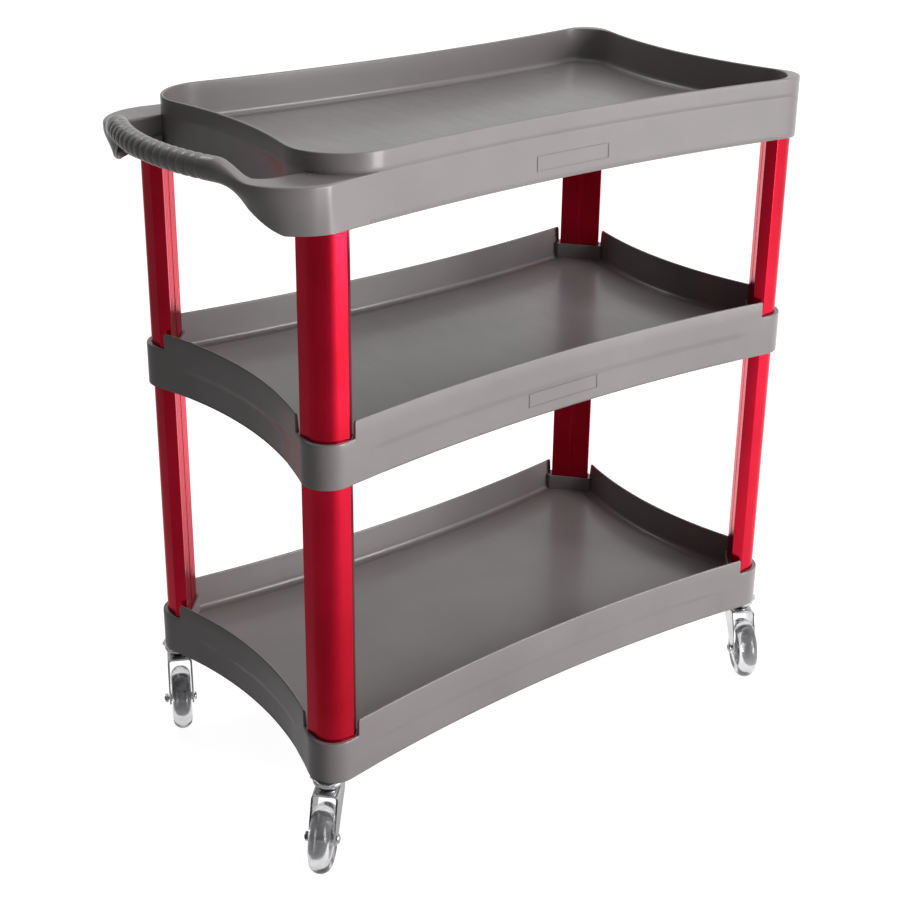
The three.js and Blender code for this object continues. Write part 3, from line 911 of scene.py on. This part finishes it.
def skirtSection(outerPoint, innerPoint):
    # the section at one place: hollow along the wall and horn, round along the grip
    width = max((innerPoint - outerPoint).length, tray["wall"])
    x, y = outerPoint
    towardsGrip = smoothStep(y, *top["gripBlend"]) if x < -380 * mm else 0.0
    climbFrom, climbTo = top["hornClimb"]
    climb = min(1.0, max(0.0, (y - climbFrom) / (climbTo - climbFrom)))
    rise = top["hornRise"] * mixed(climb, smoothStep(climb, 0, 1), 0.2) if x < -350 * mm else 0.0
    draft = top["hornDraft"] * smoothStep(-x, *top["draftStretch"])
    edge = mixed(0.15 * mm, top["hornEdge"], smoothStep(-x, *top["edgeStretch"]))
    pocket = smoothStep(width, 9 * mm, 24 * mm)
    shell = shellSection(width, deckTop, topBase + rise, draft, edge, pocket)
    if towardsGrip <= 0:
        return shell
    spread = width / (2 * top["gripRadius"])
    grip = [(u * spread, z) for u, z in gripSection(top["gripRadius"], gripHeight)]
    return [
        (mixed(a[0], b[0], towardsGrip), mixed(a[1], b[1], towardsGrip)) for a, b in zip(shell, grip)
    ]


def ribbedRadius(y):
    fade = 1 - smoothStep(abs(y), top["ribSpan"] - 7 * mm, top["ribSpan"])
    wave = 1 - abs(math.sin(math.pi * y / top["ribPitch"]))
    return top["gripRadius"] - top["ribDepth"] * fade * wave ** 1.6


def handleRows():
    outer, inner = skirtHalf()
    shares = evenly(0, 1, 60)
    outerSpots = spacedAlong(outer, shares)
    innerSpots = spacedAlong(inner, shares)
    rows = []
    for a, b in zip(outerSpots, innerSpots):
        rows.append(placed(a, (b - a).normalized(), skirtSection(a, b)))
    gripYs = evenly(-top["gripStart"], 0, 84)[1:]
    for y in gripYs:
        spot = gripEdge(y)
        along = (gripEdge(y + 0.5 * mm) - gripEdge(y - 0.5 * mm)).normalized()
        inward = Vector((along.y, -along.x))
        rows.append(placed(spot, inward, gripSection(ribbedRadius(y), gripHeight)))
    return rows


def addSkirt(bm):
    # plain wall round the far side, then the handle half and its mirror image
    endY, sideX = junctions(tray["cornerRadius"], tray["halfLength"])
    farQuarter = quarterStations(
        tray["cornerRadius"], tray["halfLength"], evenly(0, endY, 16)[:-1],
        evenly(sideX, 0, 26)[1:], 16,
    )
    plain = shellSection(tray["wall"], deckTop, topBase, 0, 0.15 * mm, 0)
    rows = [placed(point, normal, plain) for point, normal in mirrored(farQuarter, 1, -1)[::-1]]
    for x in evenly(0, top["handleStart"] - 6 * mm, 24)[1:]:
        point, normal = sideStation(-x)
        point = Vector((point.x, -point.y))
        normal = Vector((normal.x, -normal.y))
        rows.append(placed(point, normal, plain))
    rows += handleRows()
    half = [row + [row[0]] for row in rows]
    gridSurface(bm, half)
    bmesh.ops.remove_doubles(bm, verts=bm.verts, dist=2e-6)
    flipped = bmesh.ops.duplicate(bm, geom=bm.verts[:] + bm.edges[:] + bm.faces[:])
    verts = [g for g in flipped["geom"] if isinstance(g, bmesh.types.BMVert)]
    bmesh.ops.scale(bm, vec=(1, -1, 1), verts=verts)
    bmesh.ops.remove_doubles(bm, verts=bm.verts, dist=2e-6)


def makeTopTray():
    bm = bmesh.new()
    addSkirt(bm)
    settle(bm)
    basin = bmesh.new()
    addBasin(basin)
    settle(basin)
    addTo(bm, basin)
    addLabelFrame(bm, topBase, 0)
    closeHoles(bm)
    for corner in corners.values():
        makePod(bm, corner, topBase + 0.6 * mm, topBase + 29 * mm, 0, 26 * mm)
    bmesh.ops.recalc_face_normals(bm, faces=bm.faces)
    makePiece(bm, "top-tray-moulding", trayFinish, "frame", ["top_tray"], 40)


makeTopTray()
print("top tray made")


caster = {
    "trail": 32 * mm,
    "legGap": 29 * mm,
    "sheet": 2.3 * mm,
    "topHalf": 19 * mm,
    "plateHalf": 18.4 * mm,
    "plateChamfer": 8 * mm,
    "apronDrop": 19 * mm,
    "bendRadius": 5 * mm,
    "bossRadius": 9 * mm,
    "kneeHeight": 74 * mm,
    "wheelRadius": 40 * mm,
    "treadWidth": 24.4 * mm,
    "coreRadius": 25 * mm,
    "hubRadius": 10 * mm,
    "hubHalf": 10.5 * mm,
    "webHalf": 3 * mm,
    "rimHalf": 8 * mm,
    "axleHole": 5.6 * mm,
    "spokes": 10,
}


def spunSolid(bm, profile, steps=48):
    # a solid of revolution about +Z, from pairs of radius and height that close on themselves
    verts = [bm.verts.new((r, 0, z)) for r, z in profile]
    edges = [bm.edges.new((a, b)) for a, b in zip(verts, verts[1:])]
    if profile[0][0] > 1e-6:
        edges.append(bm.edges.new((verts[-1], verts[0])))
    bmesh.ops.spin(
        bm, geom=verts + edges, cent=(0, 0, 0), axis=(0, 0, 1),
        angle=2 * math.pi, steps=steps, use_merge=True,
    )
    settle(bm)


def casterPlace(name):
    # where a caster stands and which way it trails, taken from its own joints
    swivel = next(j for j in frame["joints"] if j["name"] == "caster_swivel_" + name)
    spin = next(j for j in frame["joints"] if j["name"] == "wheel_spin_" + name)
    pin = Vector(swivel["pos_m"])
    hub = Vector(spin["pos_m"])
    turn = math.atan2(hub.y - pin.y, hub.x - pin.x)
    return Matrix.Translation((pin.x, pin.y, 0)) @ Matrix.Rotation(turn, 4, "Z"), hub.z


def onAxle(hubHeight):
    return Matrix.Translation((caster["trail"], 0, hubHeight)) @ Matrix.Rotation(math.radians(90), 4, "X")


def forkEdges(z, hubHeight, topZ):
    # front and back edge of a fork leg at one height
    knee = caster["kneeHeight"]
    boss = caster["bossRadius"]
    trail = caster["trail"]
    front = -caster["topHalf"]
    back = caster["topHalf"]
    if z < knee:
        share = (knee - z) / (knee - hubHeight + boss * 0.3)
        front = mixed(front, trail - boss, min(1.0, share) ** 0.92)
    share = min(1.0, max(0.0, (topZ - z) / (topZ - hubHeight)))
    back = mixed(back, trail + boss, smoothStep(share, -0.25, 0.95))
    if z < hubHeight:
        reach = math.sqrt(max(0.0, boss ** 2 - (hubHeight - z) ** 2))
        front = max(front, trail - reach)
        back = trail + reach
    return front, back


def makeFork(name, place, hubHeight):
    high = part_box("caster_fork_" + name)[1]
    half = caster["legGap"] / 2 + caster["sheet"] / 2
    topZ = high.z - caster["sheet"] / 2
    bend = caster["bendRadius"]
    foot = hubHeight - caster["bossRadius"] + 0.05 * mm
    heights = [hubHeight - caster["bossRadius"] * math.cos(a) for a in evenly(0.06, math.pi / 2, 8)]
    heights[0] = foot
    heights += evenly(hubHeight, topZ - bend, 14)[1:]
    path = [(-half, z) for z in heights]
    for a in evenly(0, math.pi / 2, 6)[1:]:
        path.append((-half + bend - bend * math.cos(a), topZ - bend + bend * math.sin(a)))
    path += [(-y, z) for y, z in path[::-1]]
    rows = []
    for y, z in path:
        front, back = forkEdges(z, hubHeight, topZ)
        rows.append([Vector((mixed(front, back, t), y, z)) for t in evenly(0, 1, 10)])
    bm = bmesh.new()
    gridSurface(bm, rows)
    bmesh.ops.recalc_face_normals(bm, faces=bm.faces)
    bmesh.ops.solidify(bm, geom=bm.faces[:], thickness=caster["sheet"])
    settle(bm)
    middle = sum((v.co.y for v in bm.verts)) / len(bm.verts)
    bmesh.ops.translate(bm, verts=bm.verts, vec=(0, -middle, 0))
    sharp = [e for e in bm.edges if len(e.link_faces) == 2 and e.calc_face_angle() > math.radians(50)]
    bmesh.ops.bevel(
        bm, geom=sharp, offset=0.35 * mm, offset_type="OFFSET", segments=2,
        profile=0.5, affect="EDGES", material=-1, clamp_overlap=True,
    )
    apron = bmesh.ops.create_cube(bm, size=1)["verts"]
    drop = caster["apronDrop"]
    bmesh.ops.scale(bm, vec=(caster["sheet"], caster["legGap"] + 0.6 * mm, drop), verts=apron)
    bmesh.ops.translate(bm, vec=(-caster["topHalf"] + caster["sheet"], 0, topZ - drop / 2), verts=apron)
    bm.transform(place)
    bmesh.ops.recalc_face_normals(bm, faces=bm.faces)
    makePiece(
        bm, "caster-fork-pressing-" + name.replace("_", "-"), zincFinish,
        "fork_" + name, ["caster_fork_" + name], 40,
    )


def makePlate(name, place):
    low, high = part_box("caster_plate_" + name)
    half = caster["plateHalf"]
    cut = half - caster["plateChamfer"]
    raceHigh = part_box("caster_race_" + name)[1]
    bm = bmesh.new()
    outline = [(half, -cut), (half, cut), (cut, half), (-cut, half), (-half, cut), (-half, -cut),
               (-cut, -half), (cut, -half)]
    plateLow = raceHigh.z + 0.35 * mm
    polygonPrism(bm, [[Vector(p) for p in outline]], plateLow, plateLow + 2.2 * mm)
    settle(bm)
    rims = [e for e in bm.edges if e.calc_face_angle() > math.radians(30)]
    bmesh.ops.bevel(
        bm, geom=rims, offset=0.5 * mm, offset_type="OFFSET", segments=2,
        profile=0.5, affect="EDGES", material=-1, clamp_overlap=True,
    )
    pin = bmesh.new()
    r = 5 * mm
    spunSolid(pin, [
        (0, low.z), (6 * mm, low.z), (7.3 * mm, low.z + 0.7 * mm), (7.3 * mm, low.z + 2 * mm),
        (4 * mm, low.z + 2.2 * mm), (4 * mm, plateLow + 1 * mm), (r, plateLow + 1.2 * mm),
        (r, high.z - 1.2 * mm), (r - 1.2 * mm, high.z), (0, high.z),
    ], 32)
    addTo(bm, pin)
    bm.transform(Matrix.Translation(place.translation))
    makePiece(
        bm, "caster-plate-and-pin-" + name.replace("_", "-"), zincFinish,
        "frame", ["caster_plate_" + name], 30,
    )


def makeRace(name, place):
    low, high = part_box("caster_race_" + name)
    bore = 4.6 * mm
    tall = high.z - low.z
    outer = (high.x - low.x) / 2
    level = lambda share: low.z + tall * share
    bm = bmesh.new()
    spunSolid(bm, [
        (bore, level(0)), (outer * 0.68, level(0)), (outer * 0.72, level(0.12)), (outer * 0.80, level(0.2)),
        (outer * 0.92, level(0.3)), (outer * 0.985, level(0.45)), (outer, level(0.6)), (outer, level(0.8)),
        (outer * 0.97, level(0.93)), (outer * 0.9, level(1)), (bore, level(1)),
    ], 56)
    bm.transform(Matrix.Translation(place.translation))
    makePiece(
        bm, "caster-race-dish-" + name.replace("_", "-"), zincFinish,
        "frame", ["caster_race_" + name], 40,
    )


def makeWheel(name, place, hubHeight):
    radius = caster["wheelRadius"]
    half = caster["treadWidth"] / 2
    bore = caster["coreRadius"] + 0.3 * mm
    crown = radius - half * 0.92
    outline = [(bore, -half + 3 * mm), (bore + 1.5 * mm, -half + 1.2 * mm)]
    outline += [(mixed(bore + 3 * mm, crown, t), -half + 0.5 * mm * (1 - t)) for t in (0, 0.6)]
    arc = []
    for a in evenly(-math.pi / 2, math.pi / 2, 18):
        r = crown + (radius - crown) * math.cos(a)
        arc.append((r, half * math.sin(a)))
    middle = len(arc) // 2
    ridge = [(radius - 0.05 * mm, -0.9 * mm), (radius, -0.5 * mm)]
    ridge += [(r, -z) for r, z in ridge[::-1]]
    arc = arc[:middle] + ridge + arc[middle + 1:]
    outline += arc
    outline += [(r, -z) for r, z in outline[:4][::-1]]
    bm = bmesh.new()
    spunSolid(bm, outline, 72)
    bm.transform(place @ onAxle(hubHeight))
    makePiece(
        bm, "wheel-tread-ring-" + name.replace("_", "-"), treadFinish,
        "wheel_" + name, ["wheel_tread_" + name], 40,
    )
    core = bmesh.new()
    hub = caster["hubRadius"]
    side = caster["hubHalf"]
    web = caster["webHalf"]
    rim = caster["coreRadius"]
    rimHalf = caster["rimHalf"]
    hole = caster["axleHole"]
    lower = [
        (hole, -side), (hub - 1 * mm, -side), (hub, -side + 1 * mm), (hub + 0.6 * mm, -web - 1 * mm),
        (hub + 1.6 * mm, -web), (rim - 4.2 * mm, -web), (rim - 3 * mm, -web - 1 * mm),
        (rim - 2.6 * mm, -rimHalf), (rim - 0.6 * mm, -rimHalf), (rim, -rimHalf + 0.6 * mm),
    ]
    spunSolid(core, lower + [(r, -z) for r, z in lower[::-1]], 60)
    for k in range(caster["spokes"]):
        rib = bmesh.ops.create_cube(core, size=1)["verts"]
        bmesh.ops.scale(core, vec=(rim - hub - 0.5 * mm, 1.6 * mm, 2 * rimHalf - 1.5 * mm), verts=rib)
        bmesh.ops.translate(core, vec=((rim + hub) / 2 - 0.6 * mm, 0, 0), verts=rib)
        turn = Matrix.Rotation(2 * math.pi * k / caster["spokes"], 3, "Z")
        bmesh.ops.rotate(core, cent=(0, 0, 0), matrix=turn, verts=rib)
    core.transform(place @ onAxle(hubHeight))
    makePiece(
        core, "wheel-centre-" + name.replace("_", "-"), coreFinish,
        "wheel_" + name, ["wheel_core_" + name], 35,
    )


def makeBolt(name, place, hubHeight):
    face = caster["legGap"] / 2 + caster["sheet"] + 0.35 * mm
    bolt = bmesh.new()
    spunSolid(bolt, [
        (0, -face - 2.4 * mm), (2.5 * mm, -face - 2.3 * mm), (4.4 * mm, -face - 1.8 * mm),
        (5.4 * mm, -face - 0.9 * mm),
        (5.7 * mm, -face - 0.3 * mm), (5.5 * mm, -face), (3 * mm, -face), (3 * mm, face + 4.4 * mm),
        (2.2 * mm, face + 5 * mm), (0, face + 5 * mm),
    ], 36)
    bolt.transform(place @ onAxle(hubHeight))
    makePiece(
        bolt, "axle-bolt-domed-" + name.replace("_", "-"), zincFinish,
        "fork_" + name, ["axle_bolt_" + name], 35,
    )
    nut = bmesh.new()
    ring = lambda radius, count: [
        Vector((radius * math.cos(2 * math.pi * k / count), radius * math.sin(2 * math.pi * k / count)))
        for k in range(count)
    ]
    polygonPrism(nut, [ring(5.6 * mm, 6), ring(3.4 * mm, 24)], face, face + 4 * mm)
    settle(nut)
    rims = [
        e for e in nut.edges
        if e.calc_face_angle() > math.radians(60) and min(v.co.to_2d().length for v in e.verts) > 5 * mm
    ]
    bmesh.ops.bevel(
        nut, geom=rims, offset=0.6 * mm, offset_type="OFFSET", segments=2,
        profile=0.5, affect="EDGES", material=-1, clamp_overlap=True,
    )
    nut.transform(place @ onAxle(hubHeight))
    makePiece(
        nut, "axle-nut-hex-" + name.replace("_", "-"), zincFinish,
        "fork_" + name, ["axle_nut_" + name], 30,
    )


for cornerName in corners:
    casterFrame, axleHeight = casterPlace(cornerName)
    makePlate(cornerName, casterFrame)
    makeRace(cornerName, casterFrame)
    makeFork(cornerName, casterFrame, axleHeight)
    makeWheel(cornerName, casterFrame, axleHeight)
    makeBolt(cornerName, casterFrame, axleHeight)
print("casters made")


# hidden pieces keep the shape that the frame gives them
keptFinishes = {
    "lower_post_plug": insertFinish,
    "upper_post_plug": insertFinish,
    "caster_socket": insertFinish,
    "joining_stud": zincFinish,
    "axle_sleeve": zincFinish,
}
for nodeName, nodeObject in frame["nodes"].items():
    for stem, finish in keptFinishes.items():
        if nodeName.startswith(stem):
            nodeObject.data.materials.clear()
            nodeObject.data.materials.append(finish)
print("kept pieces finished")


studio = {
    "floorSize": 60,
    "floorColour": (0.32, 0.32, 0.32),
    "floorGlow": 0.9,
    "floorBounce": 0.05,
    "floorGloss": 0.9,
    "skyDark": 0.04,
    "skyBright": 1.0,
    "lights": {
        "frontLight": ((1.3, -2.9, 1.5), (0, 0, 0.45), (1.4, 1.8), 80),
        "topLight": ((0.2, 0.3, 2.6), (0, 0, 0.5), (2.0, 1.2), 6),
        "rimLight": ((-0.2, 2.6, 3.4), (0, 0, 0.6), (1.6, 0.5), 16),
        "lowLight": ((1.0, -2.3, 0.3), (-0.3, -0.2, 0.35), (0.8, 0.5), 16),
    },
    "cameraOffset": (-1.1810, -1.4883, 1.2428),
    "cameraTurn": (1.19310, -0.010048, -0.652400),
    "cameraLens": 65.15,
    "cameraShift": -0.111,
}


def makeFloor():
    bm = bmesh.new()
    bmesh.ops.create_grid(bm, x_segments=8, y_segments=8, size=studio["floorSize"] / 2)
    mesh = bpy.data.meshes.new("studioFloor")
    bm.to_mesh(mesh)
    bm.free()
    material, tree, shader = newMaterial("paleFloor")
    cloud = noiseNode(tree, objectPattern(tree), 1.5, 3)
    pale = studio["floorColour"]
    dim = tuple(c * 0.98 for c in pale)
    tree.links.new(colourRamp(tree, cloud, [(0.3, dim), (0.7, pale)]), shader.inputs["Base Color"])
    shader.inputs["Roughness"].default_value = 0.8
    shader.inputs["Emission Color"].default_value = (1, 1, 1, 1)
    rays = tree.nodes.new("ShaderNodeLightPath")
    seen = addNode(tree, "ShaderNodeMath", operation="MAXIMUM")
    tree.links.new(rays.outputs["Is Camera Ray"], seen.inputs[0])
    tree.links.new(rays.outputs["Is Transmission Ray"], seen.inputs[1])
    glow = rangeNode(tree, seen.outputs[0], studio["floorBounce"], studio["floorGlow"], 0, 1)
    # in reflections the floor is bright on the right and dark on the left
    split = tree.nodes.new("ShaderNodeSeparateXYZ")
    tree.links.new(objectPattern(tree), split.inputs["Vector"])
    side = rangeNode(tree, split.outputs["X"], 0, studio["floorGloss"], -0.7, 0.5)
    reflected = addNode(tree, "ShaderNodeMath", operation="MULTIPLY")
    tree.links.new(side, reflected.inputs[0])
    tree.links.new(rays.outputs["Is Glossy Ray"], reflected.inputs[1])
    strength = addNode(tree, "ShaderNodeMath", operation="MAXIMUM")
    tree.links.new(glow, strength.inputs[0])
    tree.links.new(reflected.outputs[0], strength.inputs[1])
    tree.links.new(strength.outputs[0], shader.inputs["Emission Strength"])
    mesh.materials.append(material)
    floor = bpy.data.objects.new("studioFloor", mesh)
    bpy.context.scene.collection.objects.link(floor)


def areaLight(name, place, target, size, power):
    data = bpy.data.lights.new(name, "AREA")
    data.shape = "RECTANGLE"
    data.size = size[0]
    data.size_y = size[1]
    data.energy = power
    light = bpy.data.objects.new(name, data)
    light.location = place
    light.rotation_euler = (Vector(target) - Vector(place)).to_track_quat("-Z", "Y").to_euler()
    bpy.context.scene.collection.objects.link(light)


def makeStudio():
    world = bpy.data.worlds.new("studioSky")
    world.use_nodes = True
    tree = world.node_tree
    background = tree.nodes["Background"]
    background.inputs["Color"].default_value = (1, 1, 1, 1)
    place = tree.nodes.new("ShaderNodeTexCoord")
    split = tree.nodes.new("ShaderNodeSeparateXYZ")
    tree.links.new(place.outputs["Generated"], split.inputs["Vector"])
    sky = rangeNode(tree, split.outputs["X"], studio["skyDark"], studio["skyBright"], -0.6, 0.7)
    rays = tree.nodes.new("ShaderNodeLightPath")
    strength = addNode(tree, "ShaderNodeMath", operation="MAXIMUM")
    tree.links.new(sky, strength.inputs[0])
    tree.links.new(rays.outputs["Is Camera Ray"], strength.inputs[1])
    tree.links.new(strength.outputs[0], background.inputs["Strength"])
    bpy.context.scene.world = world
    for lightName, settings in studio["lights"].items():
        areaLight(lightName, *settings)
    camera = bpy.data.cameras.new("camera")
    camera.lens = studio["cameraLens"]
    camera.shift_y = studio["cameraShift"]
    cameraObject = bpy.data.objects.new("camera", camera)
    cameraObject.location = Vector(studio["cameraOffset"]) + Vector((trayMiddle, 0, 0))
    cameraObject.rotation_euler = studio["cameraTurn"]
    bpy.context.scene.collection.objects.link(cameraObject)
    bpy.context.scene.camera = cameraObject
    bpy.context.scene.view_settings.view_transform = "Standard"


makeFloor()
makeStudio()
print("studio made")
